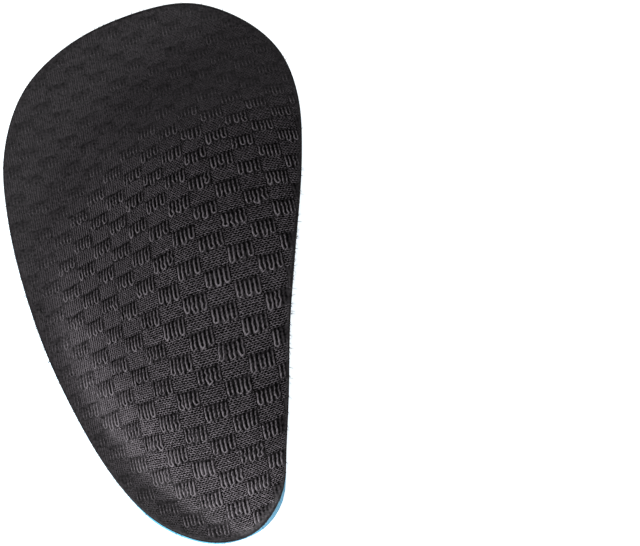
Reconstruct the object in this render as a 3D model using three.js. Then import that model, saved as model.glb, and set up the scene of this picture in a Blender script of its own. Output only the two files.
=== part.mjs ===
// Arch support pad for the left foot: a contoured foam wedge with a knitted cloth cover on top.
// Millimetres, +Z up, +Y towards the toes, +X towards the inner side of the foot.
// The origin is at the middle of the flat underside.

import * as THREE from 'three';

// Overall sizes
const padLength = 135;
const padWidth = 72;

// The foam
const rimHeight = 2.8; // foam at the thin flat rim
const archHeight = 19; // foam under the crest of the arch
const moundReach = 90; // from the crest to the foot of the mound, towards the toes
const footRounding = 2; // softens the crease where the mound meets the rim
const heelBevel = 0.3; // how far the foam's foot stands out past the cloth at the heel

// The cloth
const clothThickness = 1.2;
const glueGap = 0.3; // between foam and cloth

// Fineness of the faceted surfaces
const facetsPerRow = 4;
const ringCount = 16;

// Places, as shares of the pad's width and length from its middle. The crest is on the inner edge.
const discPlace = { across: 0.02, along: 0 };
const crestPlace = { across: 0.465, along: -0.2 };

// The outline, from the heel tip up the inner side, over the toe tip and down the outer side.
//   across, along   place, as shares of the pad's width and length from its middle
//   bevel           how much of the heel bevel the foam has there
const outlineRows = [
  { across: 0.22, along: -0.5, bevel: 0.4 },
  { across: 0.37, along: -0.479, bevel: 0.6 },
  { across: 0.445, along: -0.427, bevel: 1 },
  { across: 0.456, along: -0.35, bevel: 0.8 },
  { across: 0.46, along: -0.26, bevel: 0 },
  { across: 0.463, along: -0.14, bevel: 0 },
  { across: 0.48, along: 0, bevel: 0 },
  { across: 0.5, along: 0.165, bevel: 0 },
  { across: 0.488, along: 0.3, bevel: 0 },
  { across: 0.426, along: 0.397, bevel: 0 },
  { across: 0.309, along: 0.463, bevel: 0 },
  { across: 0.12, along: 0.5, bevel: 0 },
  { across: -0.1, along: 0.474, bevel: 0 },
  { across: -0.3, along: 0.415, bevel: 0 },
  { across: -0.44, along: 0.33, bevel: 0 },
  { across: -0.5, along: 0.21, bevel: 0 },
  { across: -0.478, along: 0.08, bevel: 0 },
  { across: -0.41, along: -0.06, bevel: 0 },
  { across: -0.3, along: -0.21, bevel: 0 },
  { across: -0.113, along: -0.388, bevel: 1 },
  { across: 0.046, along: -0.47, bevel: 0.75 },
];

// The mound, one row every 30 degrees from toes by the outer side to heel, seen from the crest.
//   reach   how far it goes that way, as a share of moundReach
//   belly   2 for an even dome, more where it is flat above and steep at its foot
const moundRows = [
  { reach: 1, belly: 2.2 },
  { reach: 0.9, belly: 2.4 },
  { reach: 0.75, belly: 2.4 },
  { reach: 0.58, belly: 2.6 },
  { reach: 0.475, belly: 2.8 },
  { reach: 0.44, belly: 3.2 },
  { reach: 0.45, belly: 3.6 },
];

const discCentre = inPlan(discPlace);
const crest = inPlan(crestPlace);
const outlineCurve = new THREE.CatmullRomCurve3(outlineRows.map(outlinePoint), true, 'centripetal');
const moundCurve = new THREE.SplineCurve(moundRows.map((row) => new THREE.Vector2(row.reach, row.belly)));

const foamMaterial = new THREE.MeshStandardMaterial({ color: 0x2f9fd0, roughness: 0.85, metalness: 0 });
const clothMaterial = new THREE.MeshStandardMaterial({ color: 0x242326, roughness: 0.9, metalness: 0 });

function inPlan(place) {
  return new THREE.Vector3(place.across * padWidth, place.along * padLength, 0);
}

function outlinePoint(row) {
  return inPlan(row).setZ(row.bevel * heelBevel);
}

// The foam's outline on the floor, a share of a turn round from the heel tip.
function footEdge(turn) {
  return outlineCurve.getPoint(turn).setZ(0);
}

// The cloth's outline: the foam's, drawn in by its bevel.
function topEdge(turn) {
  const step = 0.25 / outlineRows.length;
  const onward = footEdge(turn + step).sub(footEdge(turn - step)).normalize();
  const inward = new THREE.Vector3(-onward.y, onward.x, 0);
  return footEdge(turn).addScaledVector(inward, outlineCurve.getPoint(turn).z);
}

// Height of the foam over a place in plan.
function foamHeight(x, y) {
  const away = Math.hypot(x - crest.x, y - crest.y);
  const bearing = Math.atan2(Math.abs(x - crest.x), y - crest.y);
  const { x: reach, y: belly } = moundCurve.getPoint(bearing / Math.PI);
  const rise = archHeight - rimHeight;
  const dome = rise * (1 - (away / (reach * moundReach)) ** belly) - footRounding ** 2 / (4 * rise);
  return rimHeight + (dome + Math.hypot(dome, footRounding)) / 2;
}

// How much a layer adds to the height for each millimetre of its thickness, more where it slopes.
function heightPerThickness(x, y) {
  const step = 0.5;
  const slopeX = (foamHeight(x + step, y) - foamHeight(x - step, y)) / (2 * step);
  const slopeY = (foamHeight(x, y + step) - foamHeight(x, y - step)) / (2 * step);
  return Math.hypot(1, slopeX, slopeY);
}

function shareOut(edge, share) {
  return discCentre.clone().lerp(edge, share);
}

// A place on the foam's top, or as far above it as a layer is thick.
function overFoam(turn, share, layer) {
  const { x, y } = shareOut(topEdge(turn), share);
  return new THREE.Vector3(x, y, foamHeight(x, y) + layer * heightPerThickness(x, y));
}

// Turns a disc of unit radius into a body, each of its points moved to where place puts it.
function bodyFromDisc(profile, place) {
  const segments = outlineRows.length * facetsPerRow;
  const geometry = new THREE.LatheGeometry(profile, segments);
  const position = geometry.getAttribute('position');
  for (let index = 0; index < position.count; index += 1) {
    const column = Math.floor(index / profile.length) % segments;
    const { x: share, y: side } = profile[index % profile.length];
    position.setXYZ(index, ...place(column / segments, share, side));
  }
  geometry.computeVertexNormals();
  return geometry;
}

// Profile points from the middle to the edge, on the disc's lower side 0 or its upper side 1.
function ringsOn(side) {
  return Array.from({ length: ringCount + 1 }, (_, ring) => new THREE.Vector2(ring / ringCount, side));
}

function foamPad() {
  const flatUnderside = [new THREE.Vector2(0, 0), new THREE.Vector2(1, 0)];
  const profile = [...flatUnderside, ...ringsOn(1).reverse()];
  const place = (turn, share, side) => (side ? overFoam(turn, share, 0) : shareOut(footEdge(turn), share));
  const mesh = new THREE.Mesh(bodyFromDisc(profile, place), foamMaterial);
  mesh.name = 'foam_pad';
  return mesh;
}

function fabricCover() {
  const profile = [...ringsOn(0), ...ringsOn(1).reverse()];
  const place = (turn, share, side) => overFoam(turn, share, glueGap + side * clothThickness);
  const mesh = new THREE.Mesh(bodyFromDisc(profile, place), clothMaterial);
  mesh.name = 'fabric_cover';
  return mesh;
}

const archSupportPad = new THREE.Group();
archSupportPad.add(foamPad(), fabricCover());

export default archSupportPad;
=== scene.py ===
"""Dresses the arch support pad's CAD frame: moulded blue foam under a black checker knit, on a pale studio floor."""

import math
import random

import bmesh
import bpy
from mathutils import Matrix, Vector
from mathutils.bvhtree import BVHTree


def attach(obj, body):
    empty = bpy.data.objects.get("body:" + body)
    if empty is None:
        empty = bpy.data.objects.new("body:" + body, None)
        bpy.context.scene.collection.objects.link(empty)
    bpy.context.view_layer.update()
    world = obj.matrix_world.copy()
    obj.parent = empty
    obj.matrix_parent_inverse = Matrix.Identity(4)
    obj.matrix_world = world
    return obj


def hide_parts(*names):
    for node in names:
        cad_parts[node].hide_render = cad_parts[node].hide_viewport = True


bl_info = {
    "name": "Arch Support Pad",
    "version": (1, 0, 0),
    "blender": (4, 5, 0),
    "location": "View3D > Sidebar > Arch Pad",
    "description": "Makes a contoured foam arch support pad with a checker-knit cover over its CAD frame",
    "category": "Add Mesh",
}

MM = 0.001
TURN = 2 * math.pi

# The crest of the arch, round which the cloth is painted paler as a highlight, and how far round it
CREST = Vector((21, -12, 18)) * MM
CREST_REACH = 24 * MM

# How steep an edge is between two faces that don't run smoothly into each other
SHARP = math.radians(50)

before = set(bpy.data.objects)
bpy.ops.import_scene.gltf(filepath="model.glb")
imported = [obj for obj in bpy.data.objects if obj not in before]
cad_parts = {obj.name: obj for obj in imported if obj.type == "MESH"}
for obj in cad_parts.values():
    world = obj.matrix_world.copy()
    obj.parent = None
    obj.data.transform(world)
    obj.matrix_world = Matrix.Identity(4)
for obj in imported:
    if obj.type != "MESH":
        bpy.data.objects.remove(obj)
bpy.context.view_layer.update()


# Settings


class KnitSettings(bpy.types.PropertyGroup):
    thickness: bpy.props.FloatProperty(
        name="Cloth Thickness", description="Thickness of the knit cloth", default=1.2 * MM, unit="LENGTH"
    )
    block_swell: bpy.props.FloatProperty(
        name="Block Swell", description="How far a ribbed block stands out", default=0.32 * MM, unit="LENGTH"
    )
    yarn_width: bpy.props.FloatProperty(
        name="Yarn Width", description="Width of a yarn over a ribbed block", default=0.36 * MM, unit="LENGTH"
    )
    cloth_colour: bpy.props.FloatVectorProperty(
        name="Cloth Colour",
        description="Colour of the ground knit",
        default=(0.028, 0.0254, 0.028),
        size=3,
        subtype="COLOR",
    )
    yarn_colour: bpy.props.FloatVectorProperty(
        name="Yarn Colour",
        description="Colour of the floating yarns",
        default=(0.12, 0.109, 0.12),
        size=3,
        subtype="COLOR",
    )
    seed: bpy.props.IntProperty(name="Seed", description="Changes how the yarns lie", default=7)


class FoamSettings(bpy.types.PropertyGroup):
    colour: bpy.props.FloatVectorProperty(
        name="Foam Colour", description="Colour of the cut foam", default=(0.05, 0.30, 0.48), size=3, subtype="COLOR"
    )
    cell_size: bpy.props.FloatProperty(
        name="Cell Size", description="Size of the foam's cells", default=0.35 * MM, unit="LENGTH"
    )


class StageSettings(bpy.types.PropertyGroup):
    floor_colour: bpy.props.FloatVectorProperty(
        name="Floor Colour", description="Colour of the floor", default=(0.9, 0.9, 0.9), size=3, subtype="COLOR"
    )
    floor_glow: bpy.props.FloatProperty(
        name="Floor Glow", description="Light that the floor gives, as a light table does", default=0.92
    )
    key_power: bpy.props.FloatProperty(
        name="Key Light", description="Power of the low soft light from the heel", default=14, unit="POWER"
    )
    top_power: bpy.props.FloatProperty(
        name="Top Light", description="Power of the soft light from above", default=2.9, unit="POWER"
    )
    fill: bpy.props.FloatProperty(name="Fill Light", description="Strength of the light from all round", default=0.07)
    camera_height: bpy.props.FloatProperty(
        name="Camera Angle", description="The camera's angle above the floor", default=math.radians(73), subtype="ANGLE"
    )
    camera_distance: bpy.props.FloatProperty(
        name="Camera Distance", description="From the camera to the floor", default=0.9, unit="LENGTH"
    )
    view_width: bpy.props.FloatProperty(
        name="View Width", description="Width of floor that the camera sees", default=153.5 * MM, unit="LENGTH"
    )


SETTINGS = {"arch_pad_knit": KnitSettings, "arch_pad_foam": FoamSettings, "arch_pad_stage": StageSettings}


# The moulded form, read from the CAD frame


def ease(share):
    """Runs smoothly from 0 to 1 while share does."""
    share = min(max(share, 0), 1)
    return share * share * (3 - 2 * share)


class MouldedFace:
    """A CAD node's face seen from above or below, without its facets, and that face's outline."""

    MIDDLE = Vector((1.44, 0)) * MM
    DIRECTIONS = 720
    HALVINGS = 20
    LEAST_UPRIGHT = 0.35

    def __init__(self, node, from_above=True):
        self.start = 0.1 if from_above else -0.1
        self.tree = self.smoothed(node)
        self.reach = [self.find_edge(TURN * step / self.DIRECTIONS) for step in range(self.DIRECTIONS)]

    @staticmethod
    def smoothed(node):
        """Rounds a copy of the node between its sharp edges."""
        shape = bmesh.new()
        shape.from_mesh(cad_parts[node].data)
        bmesh.ops.remove_doubles(shape, verts=shape.verts[:], dist=0.01 * MM)
        bmesh.ops.join_triangles(
            shape, faces=shape.faces[:], angle_face_threshold=math.radians(30), angle_shape_threshold=math.radians(150)
        )
        crease = shape.edges.layers.float.new("crease_edge")
        for edge in shape.edges:
            if edge.calc_face_angle(0) > SHARP:
                edge[crease] = 1
        copy = finish_shape(shape, f"{node}_copy")
        smoothing = copy.modifiers.new("smoothing", "SUBSURF")
        smoothing.levels = smoothing.render_levels = 2
        tree = BVHTree.FromObject(copy, bpy.context.evaluated_depsgraph_get())
        bpy.data.objects.remove(copy)
        return tree

    def hit(self, x, y):
        return self.tree.ray_cast(Vector((x, y, self.start)), Vector((0, 0, -self.start)))[:2]

    def find_edge(self, angle):
        """How far the face goes from its middle that way."""
        inside, outside = 0.01, 0.1
        for _ in range(self.HALVINGS):
            reach = (inside + outside) / 2
            x, y = self.MIDDLE + Vector((math.cos(angle), math.sin(angle))) * reach
            if self.hit(x, y)[0] is None:
                outside = reach
            else:
                inside = reach
        return inside

    def edge(self, angle):
        step = angle / TURN * self.DIRECTIONS
        before = math.floor(step)
        share = step - before
        near, far = (self.reach[index % self.DIRECTIONS] for index in (before, before + 1))
        return near + (far - near) * share

    def plan(self, angle, share, inset=0.0):
        """A place in plan, a share of the way from the middle to the edge."""
        return self.MIDDLE + Vector((math.cos(angle), math.sin(angle))) * (self.edge(angle) - inset) * share

    def inward(self, x, y):
        """How far a place lies from the edge, on the line from the middle."""
        out = Vector((x, y)) - self.MIDDLE
        return self.edge(math.atan2(out.y, out.x)) - out.length

    def over(self, x, y):
        """The face's point and normal at a place in plan, or at the nearest place inwards of it."""
        for pull in (0, 0.002, 0.005, 0.01, 0.02):
            point, normal = self.hit(*Vector((x, y)).lerp(self.MIDDLE, pull))
            if point is not None and normal.z > self.LEAST_UPRIGHT:
                return Vector((x, y, point.z)), normal
        raise ValueError(f"the face has no point near {x:.4f}, {y:.4f}")


class CheckerKnit:
    """The knit's blocks, counted to the right and towards the heel, and stretched out over the mound by the moulding.
    """

    # One block's step each way in unstretched cloth, and the middle of a ribbed block on the pad
    RIGHT = Vector((4.77, 1.39)) * MM
    DOWN = Vector((0.66, -3.41)) * MM
    RIBBED_BLOCK = Vector((9.4, -4.8)) * MM

    # Where the cloth is stretched out most, by how much and how far round, and how it fades along the foot
    STRETCH_MIDDLE = Vector((21, -13)) * MM
    STRETCH = 0.34
    STRETCH_REACH = 23 * MM
    STRETCH_ALONG = 0.25

    # Counts in a block: the bars of its floating yarns, and the rows, columns and wales of its plain stitches
    BARS = 6
    ROWS = 8
    COLUMNS = 7
    WALES = 9

    def __init__(self):
        self.shift = Vector((0, 0))
        self.shift = self.block_at(*self.RIBBED_BLOCK) - Vector((0.5, 0.5))

    def drawn_out(self, rest):
        spread = (rest.x**2 + self.STRETCH_ALONG * rest.y**2) / self.STRETCH_REACH**2
        return 1 + self.STRETCH * math.exp(-spread)

    def place(self, across, down):
        rest = self.RIGHT * (across + self.shift.x) + self.DOWN * (down + self.shift.y)
        return self.STRETCH_MIDDLE + rest * self.drawn_out(rest)

    def block_at(self, x, y):
        """Blocks across and down at a place in plan."""
        target = Vector((x, y)) - self.STRETCH_MIDDLE
        rest = target.copy()
        for _ in range(12):
            rest = rest.lerp(target / self.drawn_out(rest), 0.8)
        counts = Matrix((self.RIGHT, self.DOWN)).transposed().inverted() @ rest
        return counts - self.shift

    @staticmethod
    def ribbed(across, down):
        return (math.floor(across) + math.floor(down)) % 2 == 0

    def swell(self, across, down):
        """Height over the ground knit: a ribbed block swells towards its heel end, and the others lie low."""
        side, end = across % 1, down % 1
        sides = ease(min(side, 1 - side) / 0.16)
        if self.ribbed(across, down):
            return sides * ease(end / 0.4) * ease((1 - end) / 0.15)
        return 0.3 * sides * ease(end / 0.2) * ease((1 - end) / 0.2)


class Pad:
    """What the pieces share: the moulded faces and the knit that lies on them."""

    # How loose the knit is on the rim, and the heights between which it comes to stand up fully
    PRESSED = 0.21
    LOW = 4.5 * MM
    HIGH = 12.3 * MM

    # Where the heel and toe ends begin, and what a millimetre further counts for in height
    HEEL_FROM = 20 * MM
    HEEL_SPARED = 0.07
    TOE_FROM = 8 * MM
    TOE_PRESSED = 0.15

    # The strip along the edge that is pressed flat, and the slope from which the cloth is painted paler as a sheen
    EDGE_STRIP = 2 * MM
    STEEP = math.radians(26)
    STEEPENING = math.radians(12)

    def __init__(self, knit_settings):
        self.settings = knit_settings
        self.top = MouldedFace("fabric_cover")
        self.foot = MouldedFace("foam_pad", from_above=False)
        self.knit = CheckerKnit()

    def looseness(self, x, y, z):
        """1 where the knit stands up fully, less on the rim and at the edge, which the mould presses flat.

        It presses the heel less than the toe end.
        """
        spared = z + self.HEEL_SPARED * max(-y - self.HEEL_FROM, 0) - self.TOE_PRESSED * max(y - self.TOE_FROM, 0)
        risen = self.PRESSED + (1 - self.PRESSED) * ease((spared - self.LOW) / (self.HIGH - self.LOW))
        return risen * ease(self.top.inward(x, y) / self.EDGE_STRIP)

    def steep_sheen(self, normal):
        """1 on the steep side of the mound, where the cloth is painted a little paler as a sheen."""
        return ease((normal.angle(Vector((0, 0, 1))) - self.STEEP) / self.STEEPENING)

    def on_knit(self, across, down, height):
        """A point over a place in the knit, how far it is from the cut edge, how loose the knit is and how much painted
        sheen it gets.
        """
        x, y = self.knit.place(across, down)
        inward = self.top.inward(x, y)
        if inward < 0:
            return None, inward, 0, 0
        point, normal = self.top.over(x, y)
        loose = self.looseness(x, y, point.z)
        lift = self.knit.swell(across, down) * self.settings.block_swell * loose
        sunk = self.settings.yarn_width * 0.25 * (1 - loose)
        return point + normal * (lift + height * (0.4 + 0.6 * loose) - sunk), inward, loose, self.steep_sheen(normal)


# Mesh helpers


def finish_shape(shape, name, material=None):
    """Makes an object of a bmesh, smooth but for its sharp edges."""
    for face in shape.faces:
        face.smooth = True
    for edge in shape.edges:
        edge.smooth = edge.calc_face_angle(0) < SHARP
    mesh = bpy.data.meshes.new(name)
    shape.to_mesh(mesh)
    shape.free()
    piece = bpy.data.objects.new(name, mesh)
    bpy.context.scene.collection.objects.link(piece)
    if material:
        mesh.materials.append(material)
    return piece


def disc_grid(shape, across, along, place):
    """Draws a square grid into a disc and moves each point to where place puts its direction and share."""
    for vert in bmesh.ops.create_grid(shape, x_segments=across, y_segments=along, size=1)["verts"]:
        u, v = vert.co.xy
        x, y = u * math.sqrt(1 - v * v / 2), v * math.sqrt(1 - u * u / 2)
        vert.co = place(math.atan2(y, x), min(math.hypot(x, y), 1))


def extrude_ring(shape, ring):
    """Draws a ring of edges out by one step and gives the new ring and its points."""
    made = bmesh.ops.extrude_edge_only(shape, edges=ring)["geom"]
    verts = [item for item in made if isinstance(item, bmesh.types.BMVert)]
    edges = [item for item in made if isinstance(item, bmesh.types.BMEdge)]
    return [edge for edge in edges if all(vert in verts for vert in edge.verts)], verts


def close_between(shape):
    """Joins the two open edges of a body and turns its faces outwards."""
    bmesh.ops.bridge_loops(shape, edges=[edge for edge in shape.edges if edge.is_boundary])
    bmesh.ops.recalc_face_normals(shape, faces=shape.faces[:])


# Material helpers


def connect(tree, socket, value):
    if isinstance(value, Signal):
        tree.links.new(value.socket, socket)
    else:
        socket.default_value = value


class Signal:
    """A value or colour on its way from one node to the next."""

    def __init__(self, tree, socket):
        self.tree = tree
        self.socket = socket

    def math(self, operation, *values):
        node = self.tree.nodes.new("ShaderNodeMath")
        node.operation = operation
        for socket, value in zip(node.inputs, values):
            connect(self.tree, socket, value)
        return Signal(self.tree, node.outputs[0])

    def __add__(self, other):
        return self.math("ADD", self, other)

    def __radd__(self, other):
        return self.math("ADD", other, self)

    def __sub__(self, other):
        return self.math("SUBTRACT", self, other)

    def __rsub__(self, other):
        return self.math("SUBTRACT", other, self)

    def __mul__(self, other):
        return self.math("MULTIPLY", self, other)

    def __rmul__(self, other):
        return self.math("MULTIPLY", other, self)

    def __mod__(self, other):
        return self.math("FLOORED_MODULO", self, other)

    def floor(self):
        return self.math("FLOOR", self)

    def clamped(self):
        return self.math("MINIMUM", self.math("MAXIMUM", self, 0), 1)

    def wave(self):
        """From 0 to 1 and back for each whole number."""
        return 0.5 + 0.5 * self.math("COSINE", self * TURN)


class Finish:
    """A new material and its shader. The values that are given are the same all over the surface."""

    def __init__(self, name, **everywhere):
        self.material = bpy.data.materials.new(name)
        self.material.use_nodes = True
        self.tree = self.material.node_tree
        self.shader = self.tree.nodes["Principled BSDF"]
        for socket, value in everywhere.items():
            self.shader.inputs[socket.replace("_", " ")].default_value = value

    def node(self, kind, settings=(), sockets=(), output=0):
        node = self.tree.nodes.new(kind)
        for name, value in dict(settings).items():
            setattr(node, name, value)
        for name, value in dict(sockets).items():
            connect(self.tree, node.inputs[name], value)
        return Signal(self.tree, node.outputs[output])

    def parts(self, vector):
        """A vector's three numbers."""
        first = self.node("ShaderNodeSeparateXYZ", sockets={"Vector": vector})
        return [Signal(self.tree, socket) for socket in first.socket.node.outputs]

    def attribute(self, name):
        return self.node("ShaderNodeAttribute", {"attribute_name": name}, output="Fac")

    def noise(self, place, scale, detail=2.0):
        return self.node("ShaderNodeTexNoise", sockets={"Vector": place, "Scale": scale, "Detail": detail})

    def blend(self, share, first, second):
        """A colour between two colours."""
        return self.node("ShaderNodeMix", {"data_type": "RGBA"}, {0: share, 6: first, 7: second}, output=2)

    def relief(self, height, depth):
        """A bump whose height of 1 is that deep in metres."""
        self.drive("Normal", self.node("ShaderNodeBump", sockets={"Height": height, "Distance": depth}))

    def rubbed(self, place):
        """Painted highlight: 1 on the crest of the arch, falling to 0 some way round it."""
        away = self.node("ShaderNodeVectorMath", {"operation": "DISTANCE"}, {0: place, 1: CREST}, output="Value")
        return (1.0 - away * (1 / CREST_REACH)).clamped()

    def drive(self, socket, signal):
        connect(self.tree, self.shader.inputs[socket], signal)


def shade_of(colour, factor):
    return tuple(factor * part for part in colour) + (1,)


def knit_finish(settings):
    """Black ground knit: fine staggered stitches in the plain blocks, ribs under the floating yarns of the others.

    Towards the outer side the stitches are stretched into upright wales.
    """
    finish = Finish("black_ground_knit", Specular_IOR_Level=0.06, Coat_Roughness=0.45)
    weave = finish.node("ShaderNodeUVMap", {"uv_map": "weave"})
    across, down, _ = finish.parts(weave)
    place = finish.node("ShaderNodeTexCoord", output="Object")
    wander = finish.noise(weave, 3, 4) - 0.5
    stray = finish.noise(weave, 14, 2) - 0.5
    rows = down * CheckerKnit.ROWS + wander * 0.9 + stray * 0.7
    columns = across * CheckerKnit.COLUMNS + rows.floor() * 0.5 + wander * 1.2 - stray * 0.7
    stitches = (3.2 * rows.wave() * columns.wave() - 0.8).clamped()
    wales = (1.1 * (across * CheckerKnit.WALES + wander * 0.8).wave() - 0.5).clamped()
    ribs = (across * CheckerKnit.BARS + 0.5 + wander * 0.4).wave()
    plain = (across.floor() + down.floor()) % 2
    outer_side = (0.3 - 60 * finish.parts(place)[0] + 3 * wander).clamped()
    ground = stitches + (wales - stitches) * (outer_side * 0.8)
    height = 0.1 * ribs + (ground - 0.1 * ribs) * plain
    loose = finish.attribute("loose")
    finish.relief(height * (0.2 + 0.8 * loose), 0.25 * MM)
    patches = finish.noise(place, 90, 3)
    # Painted shade: the cloth is darker in a strip along its cut edge.
    cut = finish.attribute("cut")
    grain = finish.noise(place, 1700, 3) - 0.5
    # Painted shade and light on the knit's relief: darker in the stitch hollows and between the ribs, paler on the
    # raised stitches, most where the knit stands up. The grain is tone that differs at random.
    level = 0.115 + 0.09 * height + 0.4 * grain + (height * 1.03 - 0.12) * loose
    # The steep side of the mound is painted paler, as a sheen.
    steep_sheen = finish.attribute("steep_sheen")
    # Random patches of tone, times painted light and shade: the crest highlight, the sheen on the steep side and the
    # shade along the cut edge.
    tone_and_painted_light = level * (0.8 + 0.4 * patches) * (1 + 1.1 * finish.rubbed(place) + 0.6 * steep_sheen) * (1 - 0.85 * cut)
    dark, light = shade_of(settings.cloth_colour, 0.03), shade_of(settings.cloth_colour, 9)
    finish.drive("Base Color", finish.blend(tone_and_painted_light, dark, light))
    finish.drive("Roughness", 0.6 + 0.3 * loose)
    finish.drive("Coat Weight", 0.19 * (1 - loose) * (1 - cut))
    return finish.material


def yarn_finish(settings):
    """Black filament yarn with a little satin gloss, a little different from loop to loop, and a highlight painted
    along the top of each strand.
    """
    finish = Finish("black_filament_yarn", Specular_IOR_Level=0.1, Coat_Roughness=0.45)
    strand = finish.node("ShaderNodeUVMap", {"uv_map": "strand"})
    around, along, _ = finish.parts(strand)
    stray = finish.noise(strand, 1.7, 3) - 0.5
    plies = (around + along * 1.6 + stray * 2.2).wave()
    # Painted highlight along the top of each strand, with painted shade on its sides and underside
    top_highlight = (2.8 * (around - 0.25).wave() - 1.8).clamped()
    lot = finish.attribute("lot")
    loose = finish.attribute("loose")
    finish.relief(plies, 0.04 * MM)
    # Painted highlight on the crest of the arch, as on the ground knit
    rubbed = finish.rubbed(finish.node("ShaderNodeTexCoord", output="Object"))
    # The steep side of the mound is painted paler, as a sheen.
    steep_sheen = finish.attribute("steep_sheen")
    # Painted shade: each loop is darker at its bend, less so on the loops with more shine.
    bend = (-2 * along - 4.6).clamped()
    # Painted light and shade on the yarns: the crest highlight, the sheen on the steep side and the shade at each
    # loop's bend.
    tone_and_painted_light = (1 + 0.9 * rubbed + 0.6 * steep_sheen) * (1 - 0.6 * bend * (1 - lot))
    light = top_highlight * (0.16 + 0.35 * lot + 1.25 * plies) * tone_and_painted_light
    dark, bright = shade_of(settings.cloth_colour, 0.05), shade_of(settings.yarn_colour, 1.5)
    finish.drive("Base Color", finish.blend(0.13 + 0.05 * light + (light * 1.25 - 0.15) * loose, dark, bright))
    finish.drive("Roughness", 0.65 - 0.1 * lot)
    finish.drive("Coat Weight", 0.17 * (1 - loose))
    return finish.material


def foam_finish(settings):
    """Blue closed-cell foam, cut and ground: open cells, a few larger ones, and paler scuffs."""
    finish = Finish("blue_cut_foam", Roughness=0.8, Specular_IOR_Level=0.3, Sheen_Weight=0.1)
    place = finish.node("ShaderNodeTexCoord", output="Object")
    cells = finish.node(
        "ShaderNodeTexVoronoi", {"feature": "F1"}, {"Vector": place, "Scale": 1 / settings.cell_size}, output="Distance"
    )
    pores = finish.noise(place, 0.5 / settings.cell_size, 4)
    scuffs = finish.noise(place, 220, 4)
    finish.relief(0.6 * cells + 0.6 * pores, 0.12 * MM)
    # Painted shade: the colour is darker where the relief is low, in the open cells and pores; the scuffs are paler at
    # random.
    light = (1.3 * cells + 1.4 * (scuffs - 0.5) + 1.8 * (pores - 0.5) - 0.05).clamped()
    finish.drive("Base Color", finish.blend(light, shade_of(settings.colour, 0.6), shade_of(settings.colour, 1.4)))
    finish.drive("Roughness", 0.7 + 0.25 * pores)
    return finish.material


def floor_finish(settings):
    """White matt sheet, lit a little from behind."""
    finish = Finish(
        "white_sheet",
        Specular_IOR_Level=0.0,
        Emission_Color=(1, 1, 1, 1),
        Emission_Strength=settings.floor_glow,
    )
    grain = finish.noise(finish.node("ShaderNodeTexCoord", output="Object"), 8)
    finish.drive(
        "Base Color", finish.blend(grain, shade_of(settings.floor_colour, 1), shade_of(settings.floor_colour, 0.99))
    )
    return finish.material


# The pieces


# How far the foam's foot is cut in under the cloth, in millimetres, by direction in degrees from the inner side
UNDERCUTS = (
    (-180, 0.5),
    (-130, 0.7),
    (-105, 0.95),
    (-97, 0.8),
    (-90, 0.45),
    (-78, 0.5),
    (-69, 0.8),
    (-62, 0.95),
    (-56, 0.85),
    (-50, 0.8),
    (-45, 0.9),
    (-40, 0.9),
    (40, 1),
    (70, 0.35),
    (180, 0.35),
)


def undercut(angle):
    degrees = math.degrees(math.remainder(angle, TURN))
    for (before, first), (after, second) in zip(UNDERCUTS, UNDERCUTS[1:]):
        if degrees <= after:
            break
    return (first + (second - first) * ease((degrees - before) / (after - before))) * MM


def make_foam(pad, settings):
    """The wedge of foam: flat underneath, its walls cut in a little under the cloth, its top against the cloth."""
    tuck = 0.1 * MM
    depth = pad.settings.thickness - tuck
    shape = bmesh.new()

    def upper(angle, share):
        x, y = pad.top.plan(angle, share, inset=tuck)
        point, normal = pad.top.over(x, y)
        return point - Vector((0, 0, depth / normal.z))

    def lower(angle, share):
        return pad.foot.plan(angle, share, inset=tuck + undercut(angle)).to_3d()

    for place in (upper, lower):
        disc_grid(shape, 60, 110, place)
    close_between(shape)
    walls = [edge for edge in shape.edges if is_wall(edge)]
    bmesh.ops.subdivide_edges(shape, edges=walls, cuts=6, use_grid_fill=True)
    return finish_shape(shape, "foam_body", foam_finish(settings))


def is_wall(edge):
    """Whether an edge runs up the side of a body, from the floor to its top."""
    low, high = sorted(vert.co.z for vert in edge.verts)
    return low < 0.01 * MM < high


def make_cover(pad, settings):
    """The knit cloth, swollen block by block, with a rounded cut edge."""
    rounding, cut_strip = 0.4 * MM, 0.6 * MM
    shape = bmesh.new()

    def upper(angle, share):
        x, y = pad.top.plan(angle, share)
        point, normal = pad.top.over(x, y)
        inward = pad.top.edge(angle) * (1 - share)
        swell = pad.knit.swell(*pad.knit.block_at(x, y)) * settings.block_swell
        short = max(rounding - inward, 0)
        drop = rounding - math.sqrt(rounding**2 - short**2)
        return point + normal * swell * pad.looseness(x, y, point.z) - Vector((0, 0, drop))

    def lower(angle, share):
        x, y = pad.top.plan(angle, share)
        point, normal = pad.top.over(x, y)
        return point - Vector((0, 0, settings.thickness / normal.z))

    disc_grid(shape, 170, 300, upper)
    disc_grid(shape, 60, 106, lower)
    close_between(shape)
    weave = shape.loops.layers.uv.new("weave")
    loose = shape.verts.layers.float.new("loose")
    cut = shape.verts.layers.float.new("cut")
    # Share of the painted sheen on the steep side, per point
    steep_sheen = shape.verts.layers.float.new("steep_sheen")
    blocks = {}
    for vert in shape.verts:
        x, y, z = vert.co
        blocks[vert] = pad.knit.block_at(x, y)
        vert[loose] = pad.looseness(x, y, z)
        # Painted shade along the cut edge: 1 at the edge, falling to 0 across the strip
        vert[cut] = 1 - ease(pad.top.inward(x, y) / cut_strip)
        vert[steep_sheen] = pad.steep_sheen(pad.top.over(x, y)[1])
    for face in shape.faces:
        for corner in face.loops:
            corner[weave].uv = blocks[corner.vert]
    return finish_shape(shape, "knit_cover", knit_finish(settings))


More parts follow.
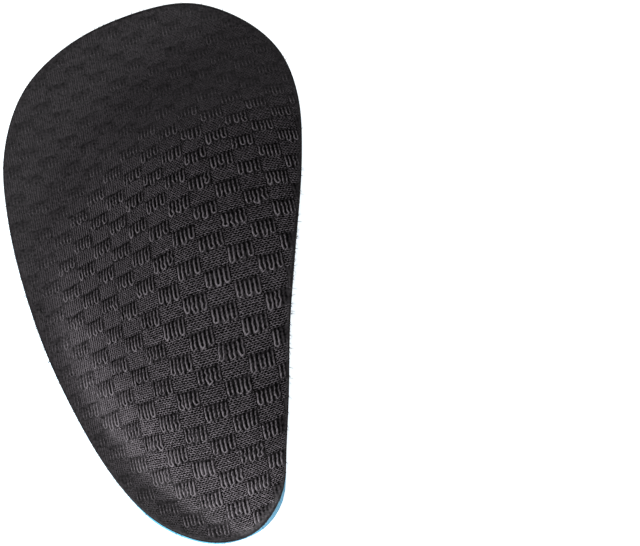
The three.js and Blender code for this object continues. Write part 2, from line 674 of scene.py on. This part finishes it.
def yarn_loop(settings, width, length):
    """One yarn loop over a block of unstretched cloth: down towards the heel, round, and up again."""
    shape = bmesh.new()
    spacing = width / CheckerKnit.BARS
    leg, steps = length * 0.72, 4
    stand = Matrix.Rotation(math.pi / 2, 4, "X")
    start = Matrix.Translation((-spacing / 2, 0, 0)) @ stand
    bmesh.ops.create_circle(shape, segments=5, radius=settings.yarn_width / 2, matrix=start)
    ring = shape.edges[:]

    def run(ring, way):
        for _ in range(steps):
            ring, verts = extrude_ring(shape, ring)
            bmesh.ops.translate(shape, verts=verts, vec=(0, way * leg / steps, 0))
        return ring

    ring = run(ring, -1)
    bend = bmesh.ops.spin(
        shape, geom=ring, cent=(0, -leg, 0), axis=(0, 0, 1), dvec=(0, 0, 0), angle=math.pi, steps=3, use_duplicate=False
    )
    ring = [item for item in bend["geom_last"] if isinstance(item, bmesh.types.BMEdge)]
    run(ring, 1)
    bmesh.ops.holes_fill(shape, edges=[edge for edge in shape.edges if edge.is_boundary], sides=0)
    bmesh.ops.recalc_face_normals(shape, faces=shape.faces[:])
    return shape


def make_ribs(pad, settings):
    """The yarns that float over the ribbed blocks, three loops to a block, their ends dived into the cloth.

    A loop that would come nearer to the cloth's edge than the margin is left out.
    """
    chance = random.Random(settings.seed)
    dive, margin = 0.22 * MM, 0.4 * MM
    width, length = pad.knit.RIGHT.length, pad.knit.DOWN.length
    pattern = yarn_loop(settings, width, length)
    strand = pattern.loops.layers.uv.new("strand")
    for face in pattern.faces:
        for corner in face.loops:
            x, y, z = corner.vert.co
            side = x - math.copysign(width / pad.knit.BARS / 2, x)
            corner[strand].uv = (math.atan2(z, side) / TURN, y / MM)
    mesh = bpy.data.meshes.new("yarn_loop")
    pattern.to_mesh(mesh)
    pattern.free()
    size = len(mesh.vertices)
    shape = bmesh.new()
    lot = shape.verts.layers.float.new("lot")
    loose = shape.verts.layers.float.new("loose")
    # Share of the painted sheen on the steep side, per yarn point
    steep_sheen = shape.verts.layers.float.new("steep_sheen")
    blocks = [(across, down) for across in range(-12, 13) for down in range(-24, 25) if pad.knit.ribbed(across, down)]
    for across, down in blocks:
        for loop in range(pad.knit.BARS // 2):
            middle = across + (2 * loop + 1) / pad.knit.BARS + chance.gauss(0, 0.008)
            top = down + 0.08 + chance.gauss(0, 0.025)
            lean, sway, tall = chance.gauss(0, 0.018), chance.gauss(0, 0.015), chance.uniform(0.93, 1.13)
            turn, kink = chance.uniform(0, TURN), chance.gauss(0, 0.009)
            high, shine = chance.uniform(0, 0.08) * MM, chance.random()
            places = []
            for vert in mesh.vertices:
                x, y, z = vert.co
                far = -y / length * tall
                side = x / width + lean * far + sway * math.sin(far * 12 + 8 * x / width + turn)
                side += kink * math.cos(math.pi * far / tall / 0.18)
                dip = dive * (1 - ease(far / 0.25))
                places.append(pad.on_knit(middle + side, top + far, z * 0.8 + high - dip))
            if min(inward for _, inward, _, _ in places) < margin:
                continue
            shape.from_mesh(mesh)
            shape.verts.ensure_lookup_table()
            for vert, (point, _, standing, sheen_share) in zip(shape.verts[-size:], places):
                vert.co = point
                vert[lot] = shine
                vert[loose] = standing
                vert[steep_sheen] = sheen_share
    bmesh.ops.recalc_face_normals(shape, faces=shape.faces[:])
    bpy.data.meshes.remove(mesh)
    return finish_shape(shape, "knit_ribs", yarn_finish(settings))


def make_fibres(pad, settings):
    """Short fibres that stand out of the cloth's cut edge, more of them round the heel."""
    chance = random.Random(settings.seed + 1)
    shape = bmesh.new()
    count, radius, steps = 260, 0.08 * MM, 3
    for _ in range(count):
        angle = chance.uniform(0, TURN) if chance.random() < 0.45 else chance.uniform(-0.95, 0.05) * math.pi
        point, _ = pad.top.over(*pad.top.plan(angle, 1, inset=0.1 * MM))
        root = point - Vector((0, 0, chance.uniform(0.3, 0.9) * settings.thickness))
        away = Matrix.Rotation(chance.gauss(0, 0.6), 3, "Z") @ Vector((math.cos(angle), math.sin(angle), 0))
        away = (away + Vector((0, 0, chance.uniform(-0.5, 0.6)))).normalized()
        curl = Vector((chance.gauss(0, 1), chance.gauss(0, 1), chance.gauss(0, 0.6))) * 0.25 * MM
        length = chance.uniform(0.3, 1.0) * MM
        turned = away.to_track_quat("Z", "Y").to_matrix().to_4x4()
        start = Matrix.Translation(root) @ turned
        bmesh.ops.create_circle(shape, segments=3, radius=radius, matrix=start)
        shape.edges.ensure_lookup_table()
        ring = shape.edges[-3:]
        for step in range(1, steps + 1):
            ring, verts = extrude_ring(shape, ring)
            bmesh.ops.translate(shape, verts=verts, vec=away * length / steps + curl * (2 * step - 1) / steps**2)
            middle = sum((vert.co for vert in verts), Vector()) / len(verts)
            for vert in verts:
                vert.co = vert.co.lerp(middle, 0.25)
    bmesh.ops.holes_fill(shape, edges=[edge for edge in shape.edges if edge.is_boundary], sides=0)
    bmesh.ops.recalc_face_normals(shape, faces=shape.faces[:])
    return finish_shape(shape, "edge_fibres", bpy.data.materials["black_filament_yarn"])


# The operators


class ARCH_PAD_OT_foam(bpy.types.Operator):
    """Make the moulded foam"""

    bl_idname = "arch_pad.foam"
    bl_label = "Foam Body"

    def execute(self, context):
        scene = context.scene
        foam = make_foam(Pad(scene.arch_pad_knit), scene.arch_pad_foam)
        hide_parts("foam_pad")
        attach(foam, "root")
        return {"FINISHED"}


class ARCH_PAD_OT_knit(bpy.types.Operator):
    """Make the knit cover, its floating yarns and the fibres at its edge"""

    bl_idname = "arch_pad.knit"
    bl_label = "Checker Knit"

    FLAT = (75 * MM, 140 * MM)

    def execute(self, context):
        settings = context.scene.arch_pad_knit
        pad = Pad(settings)
        cover = make_cover(pad, settings)
        ribs = make_ribs(pad, settings)
        fibres = make_fibres(pad, settings)
        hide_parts("fabric_cover")
        for piece in (cover, ribs, fibres):
            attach(piece, "root")
        return {"FINISHED"}


class ARCH_PAD_OT_stage(bpy.types.Operator):
    """Make the floor, the lights and the camera"""

    bl_idname = "arch_pad.stage"
    bl_label = "Studio"

    # What the camera and the lights point at, and the sheet's place, a hair under the foam's flat face
    AIM = Vector((40.3, -0.3, 0)) * MM
    SHEET = Vector((0, 0, -0.02)) * MM

    # The way from the pad to each light, and the light's width and height in metres
    KEY_FROM = Vector((-0.5, -0.9, 0.3))
    KEY_SIZE = (0.7, 0.4)
    TOP_FROM = Vector((-0.08, 0.2, 0.97))
    TOP_SIZE = (0.2, 0.2)

    def soft_light(self, name, power, direction, size):
        """A large panel a metre away, turned to the pad."""
        panel = bpy.data.lights.new(name, "AREA")
        panel.shape = "RECTANGLE"
        panel.energy = power
        panel.size, panel.size_y = size
        light = bpy.data.objects.new(name, panel)
        light.location = self.AIM + direction.normalized()
        light.rotation_mode = "QUATERNION"
        light.rotation_quaternion = direction.to_track_quat("Z", "Y")
        bpy.context.scene.collection.objects.link(light)

    def execute(self, context):
        scene = context.scene
        settings = scene.arch_pad_stage
        shape = bmesh.new()
        bmesh.ops.create_grid(shape, x_segments=2, y_segments=2, size=3, matrix=Matrix.Translation(self.SHEET))
        floor = finish_shape(shape, "floor", floor_finish(settings))

        world = bpy.data.worlds.new("studio_air")
        world.use_nodes = True
        air = world.node_tree.nodes["Background"]
        air.inputs["Color"].default_value = (1, 1, 1, 1)
        air.inputs["Strength"].default_value = settings.fill
        scene.world = world

        self.soft_light("key_light", settings.key_power, self.KEY_FROM, self.KEY_SIZE)
        self.soft_light("top_light", settings.top_power, self.TOP_FROM, self.TOP_SIZE)

        lens = bpy.data.cameras.new("camera")
        lens.sensor_width = 36
        lens.lens = 36 * settings.camera_distance / settings.view_width
        lens.clip_start, lens.clip_end = 0.05, 20
        camera = bpy.data.objects.new("camera", lens)
        back = Vector((0, -math.cos(settings.camera_height), math.sin(settings.camera_height)))
        camera.location = self.AIM + back * settings.camera_distance
        camera.rotation_mode = "QUATERNION"
        camera.rotation_quaternion = back.to_track_quat("Z", "Y")
        scene.collection.objects.link(camera)
        scene.camera = camera
        scene.view_settings.view_transform = "Standard"
        return {"FINISHED"}


class ARCH_PAD_PT_sidebar(bpy.types.Panel):
    """The arch pad's sizes and colours, and the operators that make it"""

    bl_idname = "ARCH_PAD_PT_sidebar"
    bl_label = "Arch Support Pad"
    bl_space_type = "VIEW_3D"
    bl_region_type = "UI"
    bl_category = "Arch Pad"

    def draw(self, context):
        for name, operator in zip(SETTINGS, (ARCH_PAD_OT_knit, ARCH_PAD_OT_foam, ARCH_PAD_OT_stage)):
            box = self.layout.box()
            group = getattr(context.scene, name)
            for prop in group.bl_rna.properties:
                if prop.identifier in group.__annotations__:
                    box.prop(group, prop.identifier)
            box.operator(operator.bl_idname)


CLASSES = (*SETTINGS.values(), ARCH_PAD_OT_foam, ARCH_PAD_OT_knit, ARCH_PAD_OT_stage, ARCH_PAD_PT_sidebar)


def register():
    for cls in CLASSES:
        bpy.utils.register_class(cls)
    for name, group in SETTINGS.items():
        setattr(bpy.types.Scene, name, bpy.props.PointerProperty(type=group))


def unregister():
    for name in SETTINGS:
        delattr(bpy.types.Scene, name)
    for cls in reversed(CLASSES):
        bpy.utils.unregister_class(cls)


def main():
    register()
    bpy.ops.arch_pad.foam()
    bpy.ops.arch_pad.knit()
    bpy.ops.arch_pad.stage()


if __name__ == "__main__":
    main()
